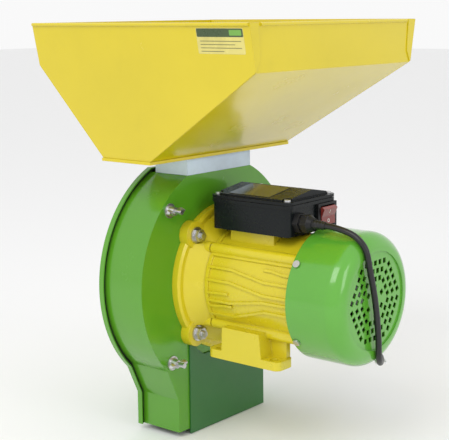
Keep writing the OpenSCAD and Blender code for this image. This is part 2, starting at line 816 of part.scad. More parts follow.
module switch_body() {
    color([0.07, 0.07, 0.08]) on_shaft() difference() {
        union() {
            translate([switch_x - switch_w / 2, box_end, switch_z - switch_h / 2])
                cube([switch_w, 3.5, switch_h]);
            translate([switch_x - 14.8, box_end - 20, switch_z - 11.8]) cube([29.6, 20.1, 23.6]);
        }
        translate([switch_x - rocker_w / 2 - 0.4, box_end - 14, switch_z - 11])
            cube([rocker_w + 0.8, 13, 22]);
        translate([switch_x - rocker_w / 2 - 0.4, box_end - 2, switch_z - rocker_r - 0.5])
            cube([rocker_w + 0.8, 8, 2 * rocker_r + 1]);
        translate([switch_x - rocker_w / 2 - 0.4, box_end, switch_z]) rotate([0, 90, 0])
            cylinder(r = rocker_r + 0.4, h = rocker_w + 0.8);
    }
}

// The rocker's two faces meet in a shallow valley
module switch_rocker() {
    color([0.52, 0.16, 0.14]) on_shaft() translate([switch_x, box_end, switch_z])
        rotate([-10, 0, 0]) intersection() {
            translate([-rocker_w / 2, 0, 0]) rotate([0, 90, 0])
                cylinder(r = rocker_r, h = rocker_w);
            translate([-rocker_w / 2, 0, 0]) rotate([90, 0, 90]) linear_extrude(rocker_w)
                polygon([[-4, -9], [4, -11.6], [6.8, -9.5], [4.6, 0], [6.8, 9.5], [4, 11.6], [-4, 9]]);
        }
}

module gland_body() {
    color([0.10, 0.10, 0.11]) on_shaft() difference() {
        union() {
            bar(7.4, box_end - 8, box_end + 1, gland_x, gland_z);
            bar(11.5, box_end + fit, box_end + 7, gland_x, gland_z, 6);
            bar(8.2, box_end + 6, box_end + 10, gland_x, gland_z);
            bar(10.5, box_end - 7, box_end - 3, gland_x, gland_z, 6);
        }
        bar(cord_d / 2 + 1.2, box_end - 9, box_end + 12, gland_x, gland_z);
    }
}

module gland_nut() {
    color([0.11, 0.11, 0.12]) on_shaft() difference() {
        union() {
            bar(10.8, box_end + 10, box_end + 17, gland_x, gland_z, 6);
            taper(9.6, 7, box_end + 17 - eps, box_end + 22, gland_x, gland_z);
        }
        bar(6, box_end + 9, box_end + 23, gland_x, gland_z);
    }
}

module strain_relief() {
    color([0.07, 0.07, 0.07]) on_shaft()
        taper(5.8, cord_d / 2 + 0.8, box_end + 12, LEAD[0][1] - face_y, gland_x, gland_z);
}

// ---- power lead ----------------------------------------------------------------

function unit(v) = v / norm(v);
function heading(p, i) =
    i == 0 ? unit(p[1] - p[0])
    : i == len(p) - 1 ? unit(p[i] - p[i - 1])
    : unit(unit(p[i + 1] - p[i]) + unit(p[i] - p[i - 1]));
// A side direction square to each heading, carried along from ring to ring
function sideways(p, i) =
    let (h = heading(p, i), s = i == 0 ? [1, 0, 0] : sideways(p, i - 1))
    unit(s - (s * h) * h);

// A tube swept along a list of points
module tube(points, d, sides = 8) {
    n = len(points);
    rings = [for (i = [0:n - 1])
        let (h = heading(points, i), s = sideways(points, i), t = cross(h, s))
        for (k = [0:sides - 1])
            points[i] + d / 2 * (cos(360 * k / sides) * s + sin(360 * k / sides) * t)];
    walls = [for (i = [0:n - 2], k = [0:sides - 1])
        [i * sides + k, i * sides + (k + 1) % sides,
            (i + 1) * sides + (k + 1) % sides, (i + 1) * sides + k]];
    ends = [[for (k = [sides - 1:-1:0]) k], [for (k = [0:sides - 1]) (n - 1) * sides + k]];
    polyhedron(points = rings, faces = concat(walls, ends), convexity = 10);
}

module power_cord() {
    color([0.06, 0.06, 0.07]) tube(LEAD, cord_d);
}

module cord_coil() {
    color([0.06, 0.06, 0.07]) translate([COIL[0], COIL[1], coil_low])
        rotate_extrude() translate([coil_in, 0]) square([coil_out - coil_in, coil_high - coil_low]);
    color([0.06, 0.06, 0.07]) tube(TAIL, cord_d);
}

// A strap round the coil's windings
module coil_tie() {
    high = coil_high - coil_low;
    color([0.15, 0.15, 0.16]) translate([COIL[0], COIL[1], 0]) rotate([0, 0, 60])
        translate([coil_in - 1.2, -5, 0]) difference() {
            cube([coil_out - coil_in + 2.4, 10, high + 2.4]);
            translate([1, -1, 1]) cube([coil_out - coil_in + 0.4, 12, high + 0.4]);
        }
}

module plug_body() {
    color([0.07, 0.07, 0.08]) translate(PLUG) rotate([0, 90, 0]) difference() {
        union() {
            cylinder(r = 17, h = 22);
            translate([0, 0, 22 - eps]) cylinder(r1 = 15, r2 = 8, h = 12);
            translate([0, 0, 34 - 2 * eps]) cylinder(r1 = 6, r2 = cord_d / 2 + 0.8, h = 6);
        }
        translate([0, 0, 0]) for (y = [-1, 1]) translate([0, y * 9.5, -1])
            cylinder(r = 2.4, h = 6);
    }
}

module plug_pins() {
    color([0.82, 0.80, 0.70]) translate(PLUG) rotate([0, 90, 0])
        for (y = [-1, 1]) translate([0, y * 9.5, -19]) cylinder(r = 2.4, h = 24);
}

// ---- hopper --------------------------------------------------------------------

module hopper_floor() {
    color([0.87, 0.78, 0.22]) on_shaft() difference() {
        translate([-floor_w / 2 - 1, floor_far - 1, block_top - 2])
            cube([floor_w + 2, floor_d + 2, 2 + hopper_t]);
        translate([-floor_w / 2 + 0.5, floor_far + 0.5, block_top - 4])
            cube([floor_w - 1, floor_d - 1, 4]);
        translate([-throat_w / 2, throat_y - throat_d / 2, block_top - 3])
            cube([throat_w, throat_d, 8]);
        translate([-slide_half - 2, floor_far - 5, block_top - 5])
            cube([slide_half * 2 + 4, 12, 5]);
        at_hopper_screws() translate([0, 0, block_top - 1]) cylinder(r = 2.7, h = 5);
    }
}

module at_hopper_screws()
    for (x = [-1, 1], y = [-1, 1])
        translate([x * (gate_w / 2 - 7), throat_y + y * 18, 0]) children();

// The outline of a flat side: upright band, then the slopes down to the floor
module side_profile() {
    k = 1 / cos(lean);
    polygon([[hopper_over, rise * k], [hopper_over, (rise - rim_band) * k], [floor_near, 0],
        [floor_far, 0], [-hopper_front, (rise - rim_band) * k], [-hopper_front, rise * k]]);
}

// A leaning side with a rolled rim and a tab folded round each corner
module hopper_side() {
    color([0.89, 0.80, 0.18]) on_shaft() {
        translate([floor_w / 2, 0, floor_top]) rotate([0, lean, 0]) rotate([90, 0, 90])
            translate([0, 0, -hopper_t]) {
                linear_extrude(hopper_t) side_profile();
                translate([-hopper_front, lean_len - rim_bead + 0.2, hopper_t + 0.4])
                    rotate([0, 90, 0]) cylinder(r = rim_bead, h = hopper_front + hopper_over);
            }
        for (s = [-1, 1]) corner_tab(s);
    }
}

module corner_tab(s) {
    y = s > 0 ? hopper_over : -hopper_front - tab_t;
    slope = tan(lean);
    foot_z = band_foot + 1;
    half = hopper_w / 2;
    translate([0, y, 0]) rotate([90, 0, 0]) mirror([0, 0, 1]) linear_extrude(tab_t)
        polygon([[half - hopper_t, rim_h], [half - 15, rim_h], [half - 18, band_foot + 14],
            [half - hopper_t - (rim_h - foot_z) * slope, foot_z],
            [half - (rim_h - foot_z) * slope, foot_z], [half, rim_h]]);
    // The fold that carries the tab, inside the sheet's own thickness
    high = rim_h - 3;
    low = foot_z + 1;
    out_high = half - fold_in - 3 * slope;
    out_low = half - fold_in - (rim_h - low) * slope;
    thick = hopper_t - 2 * fold_in;
    fold_y = s > 0 ? y - 1 : y + fold_in;
    translate([0, fold_y, 0]) rotate([90, 0, 0]) mirror([0, 0, 1]) linear_extrude(tab_t + 1 - fold_in)
        polygon([[out_high - thick, high], [out_low - thick, low], [out_low, low],
            [out_high, high]]);
}

module hopper_side_a() hopper_side();
module hopper_side_b() mirror([1, 0, 0]) hopper_side();

// A bent end: upright band above a slope that reaches the floor, with a rolled rim
module hopper_end(reach, near) {
    phi = atan((band_foot - floor_top) / (reach - near));
    gap = hopper_t / cos(lean) + 0.1;
    low = floor_w / 2 - gap;
    high = hopper_w / 2 - gap;
    bead_half = high - 17;
    intersection() {
        translate([-hopper_w / 2, 0, 0]) rotate([90, 0, 90]) linear_extrude(hopper_w)
            polygon([[near, floor_top], [reach, band_foot], [reach, rim_h],
                [reach - hopper_t, rim_h],
                [reach - hopper_t, band_foot + hopper_t * (1 / cos(phi) - tan(phi))],
                [near - hopper_t / sin(phi), floor_top]]);
        slab(near - 20, reach + 5)
            polygon([[-low, floor_top - eps], [low, floor_top - eps], [high, rim_h + eps],
                [-high, rim_h + eps]]);
    }
    translate([-bead_half, reach + 0.4, rim_h - rim_bead + 0.2]) rotate([0, 90, 0])
        cylinder(r = rim_bead, h = 2 * bead_half);
}

module hopper_back() {
    color([0.86, 0.78, 0.24]) on_shaft() hopper_end(hopper_over, floor_near);
}

module hopper_front() {
    color([0.86, 0.78, 0.24]) on_shaft() mirror([0, 1, 0]) hopper_end(hopper_front, -floor_far);
}

module gate_block() {
    color([0.84, 0.88, 0.93]) on_shaft() difference() {
        translate([-gate_w / 2, -gate_d, drum_top + fit])
            cube([gate_w, gate_d, gate_h - fit]);
        translate([-throat_w / 2, throat_y - throat_d / 2, drum_top - 5])
            cube([throat_w, throat_d, gate_h + 10]);
        translate([-slide_half - loose, -gate_d - 1, slide_z - 0.3])
            cube([2 * (slide_half + loose), gate_d + throat_y + throat_d / 2 + 7, 5]);
        at_hopper_screws() translate([0, 0, block_top - 9]) cylinder(r = 2.1, h = 15);
    }
}

module slide_gate() {
    back = throat_y + throat_d / 2 + 5;
    color([0.78, 0.79, 0.80]) on_shaft() {
        translate([-slide_half, -slide_out, slide_z]) cube([2 * slide_half, slide_out + back, slide_t]);
        translate([0, -slide_out + 10, slide_z + slide_t - eps]) cylinder(r = 7, h = 4);
        translate([0, -slide_out + 10, slide_z + slide_t + 4 - 2 * eps])
            cylinder(r1 = 8.5, r2 = 7.5, h = 7);
    }
}

module hopper_screws() {
    color([0.78, 0.78, 0.80]) on_shaft() at_hopper_screws() {
        translate([0, 0, block_top - 8]) cylinder(r = 2, h = 11);
        translate([0, 0, floor_top + fit]) cylinder(r = 4.5, h = 2.5);
    }
}

chamber_shell();
chute_panel();
front_cover();
cover_seal();
cover_bolts();
wing_nut_a();
wing_nut_b();
wing_nut_c();
wing_nut_d();
sieve();
rotor_hub();
hammer_pins();
hammers_a();
hammers_b();
hammers_c();
hammers_d();
rotor_key();
rotor_nut();
motor_shaft();
rotor_core();
stator_core();
stator_windings();
drive_bearing();
rear_bearing();
shaft_seal();
drive_flange();
flange_bolts();
motor_housing();
rear_shield();
tie_screws();
cooling_fan();
fan_clip();
fan_cover();
fan_cover_screws();
box_gasket();
box_base();
lid_gasket();
box_lid();
lid_plate();
lid_screws();
capacitor();
terminal_block();
switch_body();
switch_rocker();
gland_body();
gland_nut();
strain_relief();
power_cord();
cord_coil();
coil_tie();
plug_body();
plug_pins();
hopper_floor();
hopper_side_a();
hopper_side_b();
hopper_front();
hopper_back();
gate_block();
slide_gate();
hopper_screws();
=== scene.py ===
"""Hammer mill: materials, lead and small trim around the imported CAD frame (metres)."""
import json
import math

import bmesh
import bpy
from mathutils import Matrix, Vector
from mathutils.bvhtree import BVHTree


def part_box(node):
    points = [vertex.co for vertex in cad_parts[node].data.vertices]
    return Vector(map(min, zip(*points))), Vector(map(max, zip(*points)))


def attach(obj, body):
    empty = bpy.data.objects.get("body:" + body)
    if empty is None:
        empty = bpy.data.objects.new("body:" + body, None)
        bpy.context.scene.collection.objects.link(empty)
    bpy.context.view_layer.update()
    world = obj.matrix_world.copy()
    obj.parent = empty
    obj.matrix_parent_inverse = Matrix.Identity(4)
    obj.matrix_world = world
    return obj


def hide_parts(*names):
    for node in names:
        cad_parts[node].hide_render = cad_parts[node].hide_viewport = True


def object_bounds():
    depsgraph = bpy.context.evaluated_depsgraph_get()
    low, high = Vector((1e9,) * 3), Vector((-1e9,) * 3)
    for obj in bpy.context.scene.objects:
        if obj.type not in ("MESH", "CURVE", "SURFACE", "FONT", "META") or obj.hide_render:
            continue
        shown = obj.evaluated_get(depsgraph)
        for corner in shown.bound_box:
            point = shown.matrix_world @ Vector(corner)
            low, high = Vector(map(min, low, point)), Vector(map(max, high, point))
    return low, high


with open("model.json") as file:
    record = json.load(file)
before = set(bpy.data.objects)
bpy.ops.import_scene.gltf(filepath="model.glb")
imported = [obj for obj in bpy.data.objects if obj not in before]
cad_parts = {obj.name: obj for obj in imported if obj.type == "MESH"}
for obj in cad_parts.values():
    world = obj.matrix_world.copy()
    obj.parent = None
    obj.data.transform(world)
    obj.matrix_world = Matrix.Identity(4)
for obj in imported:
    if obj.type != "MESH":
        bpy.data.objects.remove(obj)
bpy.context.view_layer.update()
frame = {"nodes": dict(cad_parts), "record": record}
MM = 0.001

# ---------------------------------------------------------------- places and sizes
CORD_D = 7 * MM
COIL_CENTRE = (-0.1235, 0.004)
# Radii of the coil's turns and heights of its two layers, in mm
COIL_TURNS = (45.5, 38.5, 31.5, 35.0, 42.0)
COIL_LAYERS = (4.7, 11.7)
POINTS_PER_TURN = 16
# The coil changes radius over the last quarter of a turn, and layer over this turn
SHIFT = 0.25
LAYER_TURN = 2.75
# Stand for the unseen part of the lead, just under the plane of the feet
STAND_TOP = -0.0003
STAND_T = 0.002
COIL_STAND_R = 60
LEAD_STAND_HALF = 6
POST_AT, POST_R = (-88, -164), 7
# The hopper's label as (across, up) in mm, its printed header and its lines
LABEL = ((14, 350), (75, 376))
HEADER = ((14.6, 367), (74.4, 375.4))
LEAF = ((57, 368.5), (72.5, 374))
LINES = ((18, 71), (18, 63), (18, 71), (18, 48))
LINE_TOP, LINE_PITCH, LINE_H = 363.2, 3.4, 0.7
FILM, INK, INK_ON_INK, ROCKER_INK = 0.10, 0.16, 0.22, 0.08
FILM_SUNK = 0.02
RAY_START = 0.6
RELIEF_RINGS = 5

# The lead's chosen route from its strain relief to the coil, as in the CAD model
LEAD = [
    (28, 86, 162), (28, 93, 161.8), (28, 100, 161), (28, 107, 159.8), (28, 113, 158.5),
    (27.5, 119, 156.6), (27, 124.5, 153.9), (27, 129.3, 150.3), (26.3, 133.6, 145.6),
    (25.5, 136.4, 139.8), (24.5, 137.8, 133.5), (23, 138, 127), (20.5, 138.2, 118),
    (17, 138.4, 107), (13, 138.6, 94), (9.5, 138.8, 80), (7, 139, 66), (5, 139.2, 52),
    (3.8, 139.4, 41), (3, 139.4, 33), (1.4, 138.6, 23.3), (-1.7, 137.1, 16.6),
    (-6.4, 134.8, 11), (-12, 132, 6.9), (-18.6, 128.8, 4.6), (-26, 125, 4.2),
    (-34, 120, 4.2), (-42, 113.5, 4.2), (-49.5, 105.5, 4.2), (-56, 96.5, 4.2),
    (-61.5, 86.5, 4.2), (-66, 76, 4.2), (-69.8, 65, 4.2), (-72.8, 53.5, 4.2),
    (-75, 42, 4.2), (-76.6, 30, 4.5), (-78, 17, 4.7)]
TAIL = [(-123.5, -38, 11.7), (-133, -38, 12.6), (-142, -38, 15.2), (-150, -38, 17)]


# ---------------------------------------------------------------- camera
def make_camera():
    """The photograph's view: from behind the fan, to the left, and a little above."""
    heading, pitch, roll = math.radians(129.62), math.radians(10.22), math.radians(-0.6)
    ahead = Vector((-math.sin(heading) * math.cos(pitch),
                    math.cos(heading) * math.cos(pitch), -math.sin(pitch)))
    level = Vector((math.cos(heading), math.sin(heading), 0))
    upward = level.cross(ahead)
    right = math.cos(roll) * level + math.sin(roll) * upward
    up = math.cos(roll) * upward - math.sin(roll) * level
    data = bpy.data.cameras.new("camera")
    data.sensor_width = 36
    data.lens = 93.0
    data.clip_end = 50
    camera = bpy.data.objects.new("camera", data)
    camera.matrix_world = Matrix.Translation((1.0499, 0.7896, 0.3925)) @ Matrix(
        (right, up, -ahead)).transposed().to_4x4()
    bpy.context.scene.collection.objects.link(camera)
    bpy.context.scene.camera = camera


# ---------------------------------------------------------------- node helpers
def new_material(name):
    material = bpy.data.materials.new(name)
    material.use_nodes = True
    tree = material.node_tree
    return material, tree, tree.nodes["Principled BSDF"]


def node(tree, kind, **sockets):
    """Adds a node; each keyword sets an input (or a plain property) by its name."""
    made = tree.nodes.new(kind)
    for key, value in sockets.items():
        label = key.replace("_", " ")
        match = [s for s in made.inputs if s.name.lower() == label.lower()]
        if match:
            match[0].default_value = value
        else:
            setattr(made, key, value)
    return made


def noise(tree, scale, detail=3.0, rough=0.55, stretch=(1, 1, 1)):
    """Noise in the object's own metres: scale is features per metre."""
    where = node(tree, "ShaderNodeTexCoord")
    spread = node(tree, "ShaderNodeMapping")
    spread.inputs["Scale"].default_value = stretch
    made = node(tree, "ShaderNodeTexNoise", Scale=scale, Detail=detail, Roughness=rough)
    tree.links.new(where.outputs["Object"], spread.inputs["Vector"])
    tree.links.new(spread.outputs["Vector"], made.inputs["Vector"])
    return made.outputs["Fac"]


def remap(tree, source, low, high, to_low=0.0, to_high=1.0):
    made = node(tree, "ShaderNodeMapRange")
    made.clamp = True
    for key, value in zip(("From Min", "From Max", "To Min", "To Max"),
                          (low, high, to_low, to_high)):
        made.inputs[key].default_value = value
    tree.links.new(source, made.inputs["Value"])
    return made.outputs["Result"]


def blend_colour(tree, factor, first, second):
    made = node(tree, "ShaderNodeMix", data_type="RGBA")
    for socket, value in ((made.inputs[6], first), (made.inputs[7], second)):
        if isinstance(value, bpy.types.NodeSocket):
            tree.links.new(value, socket)
        else:
            socket.default_value = (*value, 1)
    if isinstance(factor, bpy.types.NodeSocket):
        tree.links.new(factor, made.inputs[0])
    else:
        made.inputs[0].default_value = factor
    return made.outputs[2]


def shade(colour, factor):
    return tuple(min(1.0, c * factor) for c in colour)


def round_edges(tree, radius):
    """A normal that rounds sharp edges by the given radius."""
    return node(tree, "ShaderNodeBevel", samples=4, Radius=radius).outputs["Normal"]


def edge_mask(tree, rounded):
    """One on a rounded edge, zero on the flat."""
    flat = node(tree, "ShaderNodeNewGeometry").outputs["Normal"]
    dot = node(tree, "ShaderNodeVectorMath", operation="DOT_PRODUCT")
    tree.links.new(rounded, dot.inputs[0])
    tree.links.new(flat, dot.inputs[1])
    return remap(tree, dot.outputs["Value"], 0.995, 0.90)


def bump(tree, bsdf, layers, rounded):
    """Chains bump layers of (height, strength, distance) onto the rounded normal."""
    normal = rounded
    for height, strength, distance in layers:
        made = node(tree, "ShaderNodeBump", Strength=strength, Distance=distance)
        tree.links.new(height, made.inputs["Height"])
        tree.links.new(normal, made.inputs["Normal"])
        normal = made.outputs["Normal"]
    tree.links.new(normal, bsdf.inputs["Normal"])


# ---------------------------------------------------------------- materials
def paint(name, colour, rough=0.22, peel=0.12, cast=0.0, edge=0.8, coat=0.3, radius=0.7):
    """Gloss enamel: drifting colour, orange peel, dust in the gloss, lighter in patches at edges.
    """
    material, tree, bsdf = new_material(name)
    rounded = round_edges(tree, radius * MM)
    edges = edge_mask(tree, rounded)
    drift = remap(tree, noise(tree, 9, 4), 0.35, 0.65)
    base = blend_colour(tree, drift, shade(colour, 0.97), shade(colour, 1.03))
    grime = remap(tree, noise(tree, 38, 6, 0.7), 0.56, 0.78)
    base = blend_colour(tree, remap(tree, grime, 0, 1, 0, 0.14), base, shade(colour, 0.72))
    # Lighter copy of the paint colour in patches along rounded edges.
    edge_lightening = node(tree, "ShaderNodeMath", operation="MULTIPLY")
    tree.links.new(edges, edge_lightening.inputs[0])
    tree.links.new(remap(tree, noise(tree, 120, 5, 0.7), 0.42, 0.62, 0.15, edge), edge_lightening.inputs[1])
    base = blend_colour(tree, edge_lightening.outputs[0], base, shade(colour, 1.25))
    tree.links.new(base, bsdf.inputs["Base Color"])
    haze = remap(tree, noise(tree, 22, 5, 0.6), 0.3, 0.75, rough * 0.8, rough * 1.5)
    tree.links.new(haze, bsdf.inputs["Roughness"])
    bsdf.inputs["Coat Weight"].default_value = coat
    bsdf.inputs["Coat Roughness"].default_value = 0.06
    layers = [(noise(tree, 420, 2), peel, 0.15 * MM), (noise(tree, 14, 2), 0.10, 0.3 * MM)]
    if cast:
        layers.append((noise(tree, 700, 4, 0.65), cast, 0.3 * MM))
    bump(tree, bsdf, layers, rounded)
    return material


def metal(name, colour, rough=0.3, grain=(1, 1, 14), radius=0.35):
    """Machined or plated steel: fine scratches along one way and dull patches."""
    material, tree, bsdf = new_material(name)
    rounded = round_edges(tree, radius * MM)
    dull = remap(tree, noise(tree, 160, 5, 0.65), 0.45, 0.8, 0, 0.55)
    base = blend_colour(tree, dull, colour, shade(colour, 0.62))
    tree.links.new(base, bsdf.inputs["Base Color"])
    bsdf.inputs["Metallic"].default_value = 1.0
    scratch = noise(tree, 900, 3, 0.6, grain)
    haze = remap(tree, scratch, 0.3, 0.7, rough * 0.7, rough * 1.5)
    tree.links.new(haze, bsdf.inputs["Roughness"])
    bump(tree, bsdf, [(scratch, 0.25, 0.05 * MM)], rounded)
    return material


def plastic(name, colour, rough=0.4, grain=0.15, fine=1500, radius=0.5, coat=0.0,
            gloss=0.5):
    """Moulded plastic: fine spark-eroded texture, scuffs and slight colour drift."""
    material, tree, bsdf = new_material(name)
    rounded = round_edges(tree, radius * MM)
    edges = edge_mask(tree, rounded)
    drift = remap(tree, noise(tree, 30, 4), 0.35, 0.7)
    base = blend_colour(tree, drift, shade(colour, 0.88), shade(colour, 1.1))
    lift = remap(tree, edges, 0, 1, 0, 0.35)
    base = blend_colour(tree, lift, base, tuple(c * 0.7 + 0.10 for c in colour))
    tree.links.new(base, bsdf.inputs["Base Color"])
    tree.links.new(remap(tree, noise(tree, 60, 5, 0.7), 0.3, 0.75, rough * 0.75, rough * 1.35),
                   bsdf.inputs["Roughness"])
    bsdf.inputs["Specular IOR Level"].default_value = gloss
    bsdf.inputs["Coat Weight"].default_value = coat
    bsdf.inputs["Coat Roughness"].default_value = 0.08
    bump(tree, bsdf, [(noise(tree, fine, 2), grain, 0.12 * MM)], rounded)
    return material


YELLOW = (0.655, 0.525, 0.008)
GREEN = (0.090, 0.305, 0.015)
# One material for each of the record's slots
MATERIALS = {
    "hopper_yellow": paint("hopper_paint", YELLOW, rough=0.2, peel=0.08),
    "motor_yellow": paint("motor_paint", (0.66, 0.55, 0.014), rough=0.28, cast=0.14, radius=1.4),
    "chamber_green": paint("chamber_paint", GREEN, rough=0.2, peel=0.12),
    "cover_green": paint("cover_paint", (0.095, 0.32, 0.018), rough=0.2, peel=0.12),
    # The panel's dark green is painted shade: the motor's shadow on the chute's face beneath it
    # is put into the paint colour.
    "panel_green": paint("panel_painted_shade", (0.025, 0.145, 0.028), rough=0.35, coat=0.15),
    "fan_cover_green": paint("fan_cover_paint", (0.098, 0.365, 0.028), rough=0.18, peel=0.06,
                             coat=0.6),
    "zinc": metal("zinc_plating", (0.62, 0.62, 0.63), rough=0.26),
    "steel": metal("bright_steel", (0.50, 0.50, 0.51), rough=0.32),
    "cast_grey": metal("cast_alloy", (0.50, 0.51, 0.52), rough=0.5, grain=(1, 1, 1)),
    "laminated": metal("laminated_steel", (0.22, 0.22, 0.23), rough=0.5, grain=(0.2, 12, 0.2)),
    "winding": plastic("varnished_copper", (0.45, 0.14, 0.04), rough=0.25, grain=0.9, fine=700),
    "rubber": plastic("black_rubber", (0.008, 0.008, 0.009), rough=0.36, grain=0.2, gloss=0.5),
    "box_black": plastic("box_plastic", (0.006, 0.008, 0.009), rough=0.26, grain=0.06,
                         gloss=0.22),
    "black_plastic": plastic("moulded_black", (0.009, 0.009, 0.010), rough=0.4, gloss=0.3),
    "gate_white": plastic("gate_polymer", (0.60, 0.72, 0.84), rough=0.35, grain=0.2, fine=900),
    "pale_plastic": plastic("pale_moulding", (0.58, 0.56, 0.48), rough=0.4),
    "rocker_red": plastic("rocker_plastic", (0.22, 0.028, 0.022), rough=0.22, coat=0.4),
    "plate_silver": plastic("lid_foil", (0.035, 0.035, 0.026), rough=0.12, grain=0.03,
                            coat=0.6),
    "brass_pins": metal("plated_brass", (0.72, 0.60, 0.36), rough=0.25),
}
# Inks and films of the printed pieces
PRINTS = {
    "label_film": plastic("label_film", (0.66, 0.58, 0.16), rough=0.25, grain=0.03, coat=0.4),
    "header_ink": plastic("header_ink", (0.050, 0.085, 0.030), rough=0.3, grain=0.03),
    "leaf_ink": plastic("leaf_ink", (0.16, 0.38, 0.06), rough=0.3, grain=0.03),
    "line_ink": plastic("line_ink", (0.17, 0.16, 0.05), rough=0.3, grain=0.03),
    "white_ink": plastic("white_ink", (0.75, 0.73, 0.68), rough=0.35, grain=0.03),
}


def dress_cad():
    """Gives every CAD node the material of its slot."""
    slots = {s["node"]: s["material_slot"] for s in frame["record"]["subparts"]}
    for name, obj in frame["nodes"].items():
        obj.data.materials.clear()
        obj.data.materials.append(MATERIALS[slots[name]])


# ---------------------------------------------------------------- the power lead
def coil_points():
    """Turns wound inwards on the stand, then outwards on top of them, in mm."""
    points = []
    last = len(COIL_TURNS) - 1
    rise = COIL_LAYERS[1] - COIL_LAYERS[0]
    for i in range(1, int(POINTS_PER_TURN * (len(COIL_TURNS) + 0.25)) + 1):
        turn = i / POINTS_PER_TURN
        k = min(int(turn), last)
        share = min(1.0, max(0.0, (turn - k - 1 + SHIFT) / SHIFT)) if k < last else 0.0
        radius = COIL_TURNS[k] + (COIL_TURNS[min(k + 1, last)] - COIL_TURNS[k]) * share
        z = COIL_LAYERS[0] + rise * min(1.0, max(0.0, (turn - LAYER_TURN) / SHIFT))
        angle = -2 * math.pi * turn
        points.append((COIL_CENTRE[0] / MM + radius * math.cos(angle),
                       COIL_CENTRE[1] / MM + radius * math.sin(angle), z))
    return points


def make_cord():
    """The lead as one curve, from the strain relief through the coil to the plug."""
    route = LEAD + coil_points() + TAIL[1:]
    curve = bpy.data.curves.new("power_lead", "CURVE")
    curve.dimensions = "3D"
    curve.bevel_depth = CORD_D / 2
    curve.bevel_resolution = 5
    curve.resolution_u = 6
    spline = curve.splines.new("NURBS")
    spline.points.add(len(route) - 1)
    for point, place in zip(spline.points, route):
        point.co = (*(c * MM for c in place), 1)
    spline.order_u = 3
    spline.use_endpoint_u = True
    lead = bpy.data.objects.new("power_lead", curve)
    bpy.context.scene.collection.objects.link(lead)
    lead.data.materials.append(MATERIALS["rubber"])
    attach(lead, "frame")
    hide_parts("power_cord", "cord_coil")


# ---------------------------------------------------------------- prints and trim
def rounded_outline(low, high, corner, steps=5):
    """A rectangle with rounded corners, anticlockwise, as (across, up) in mm."""
    points = []
    for k, (u, v) in enumerate(((high[0], high[1]), (low[0], high[1]),
                                (low[0], low[1]), (high[0], low[1]))):
        cu = u - corner if u == high[0] else u + corner
        cv = v - corner if v == high[1] else v + corner
        for i in range(steps + 1):
            angle = math.pi / 2 * (k + i / steps)
            points.append((cu + corner * math.cos(angle), cv + corner * math.sin(angle)))
    return points


def surface_of(name):
    """A CAD node's surface in metres, for laying prints and rings on it."""
    obj = frame["nodes"][name]
    corners = [obj.matrix_world @ v.co for v in obj.data.vertices]
    return BVHTree.FromPolygons(corners, [tuple(p.vertices) for p in obj.data.polygons])


def print_on(name, host, body, shapes, axis):
    """Thin ink films laid on a node's face: shapes are (outline, hole, lift, ink) in mm."""
    tree = surface_of(host)
    outward = Vector((1, 0, 0)) if axis == "x" else Vector((0, 1, 0))
    mesh = bpy.data.meshes.new(name)
    made = bmesh.new()
    inks = []

    def ring(outline, lift):
        corners = []
        for across, up in outline:
            start = Vector((across * MM, RAY_START, up * MM))
            if axis == "x":
                start = Vector((RAY_START, across * MM, up * MM))
            hit = tree.ray_cast(start, -outward)[0]
            corners.append(made.verts.new(hit + outward * lift * MM))
        return corners

    for outline, hole, lift, ink in shapes:
        if ink not in inks:
            inks.append(ink)
        rows = [ring(outline, -FILM_SUNK), ring(outline, lift)]
        if hole:
            rows += [ring(hole, lift), ring(hole, -FILM_SUNK)]
        count = len(outline)
        faces = [made.faces.new((a[i], a[(i + 1) % count], b[(i + 1) % count], b[i]))
                 for a, b in zip(rows, rows[1:]) for i in range(count)]
        if not hole:
            faces.append(made.faces.new(rows[-1]))
        for face in faces:
            face.material_index = inks.index(ink)
    bmesh.ops.recalc_face_normals(made, faces=made.faces)
    made.to_mesh(mesh)
    made.free()
    film = bpy.data.objects.new(name, mesh)
    bpy.context.scene.collection.objects.link(film)
    for ink in inks:
        mesh.materials.append(PRINTS[ink])
    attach(film, body)


def circle(centre, radius, steps=28):
    """Points round a circle, anticlockwise."""
    return [(centre[0] + radius * math.cos(2 * math.pi * i / steps),
             centre[1] + radius * math.sin(2 * math.pi * i / steps)) for i in range(steps)]


def make_prints():
    """A plain label on the hopper and the switch's two marks."""
    shapes = [(rounded_outline(*LABEL, 1.5), None, FILM, "label_film"),
              (rounded_outline(*HEADER, 1.2), None, INK, "header_ink"),
              (rounded_outline(*LEAF, 1.0), None, INK_ON_INK, "leaf_ink")]
    for row, (start, end) in enumerate(LINES):
        top = LINE_TOP - LINE_PITCH * row
        line = rounded_outline((start, top - LINE_H), (end, top), 0.3)
        shapes.append((line, None, INK, "line_ink"))
    side = max(("hopper_side_a", "hopper_side_b"), key=lambda n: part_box(n)[1][0])
    print_on("hopper_label", side, "frame", shapes, "x")
    low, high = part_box("switch_rocker")
    middle = (low[0] + high[0]) / 2 / MM
    tall = (high[2] - low[2]) / MM
    line_z, ring_z = high[2] / MM - 0.27 * tall, low[2] / MM + 0.25 * tall
    bar = rounded_outline((middle - 0.5, line_z - 2), (middle + 0.5, line_z + 2), 0.3)
    outer, inner = circle((middle, ring_z), 2.1), circle((middle, ring_z), 1.3)
    marks = [(bar, None, ROCKER_INK, "white_ink"),
             (outer, inner, ROCKER_INK, "white_ink")]
    print_on("rocker_marks", "switch_rocker", "rocker", marks, "y")


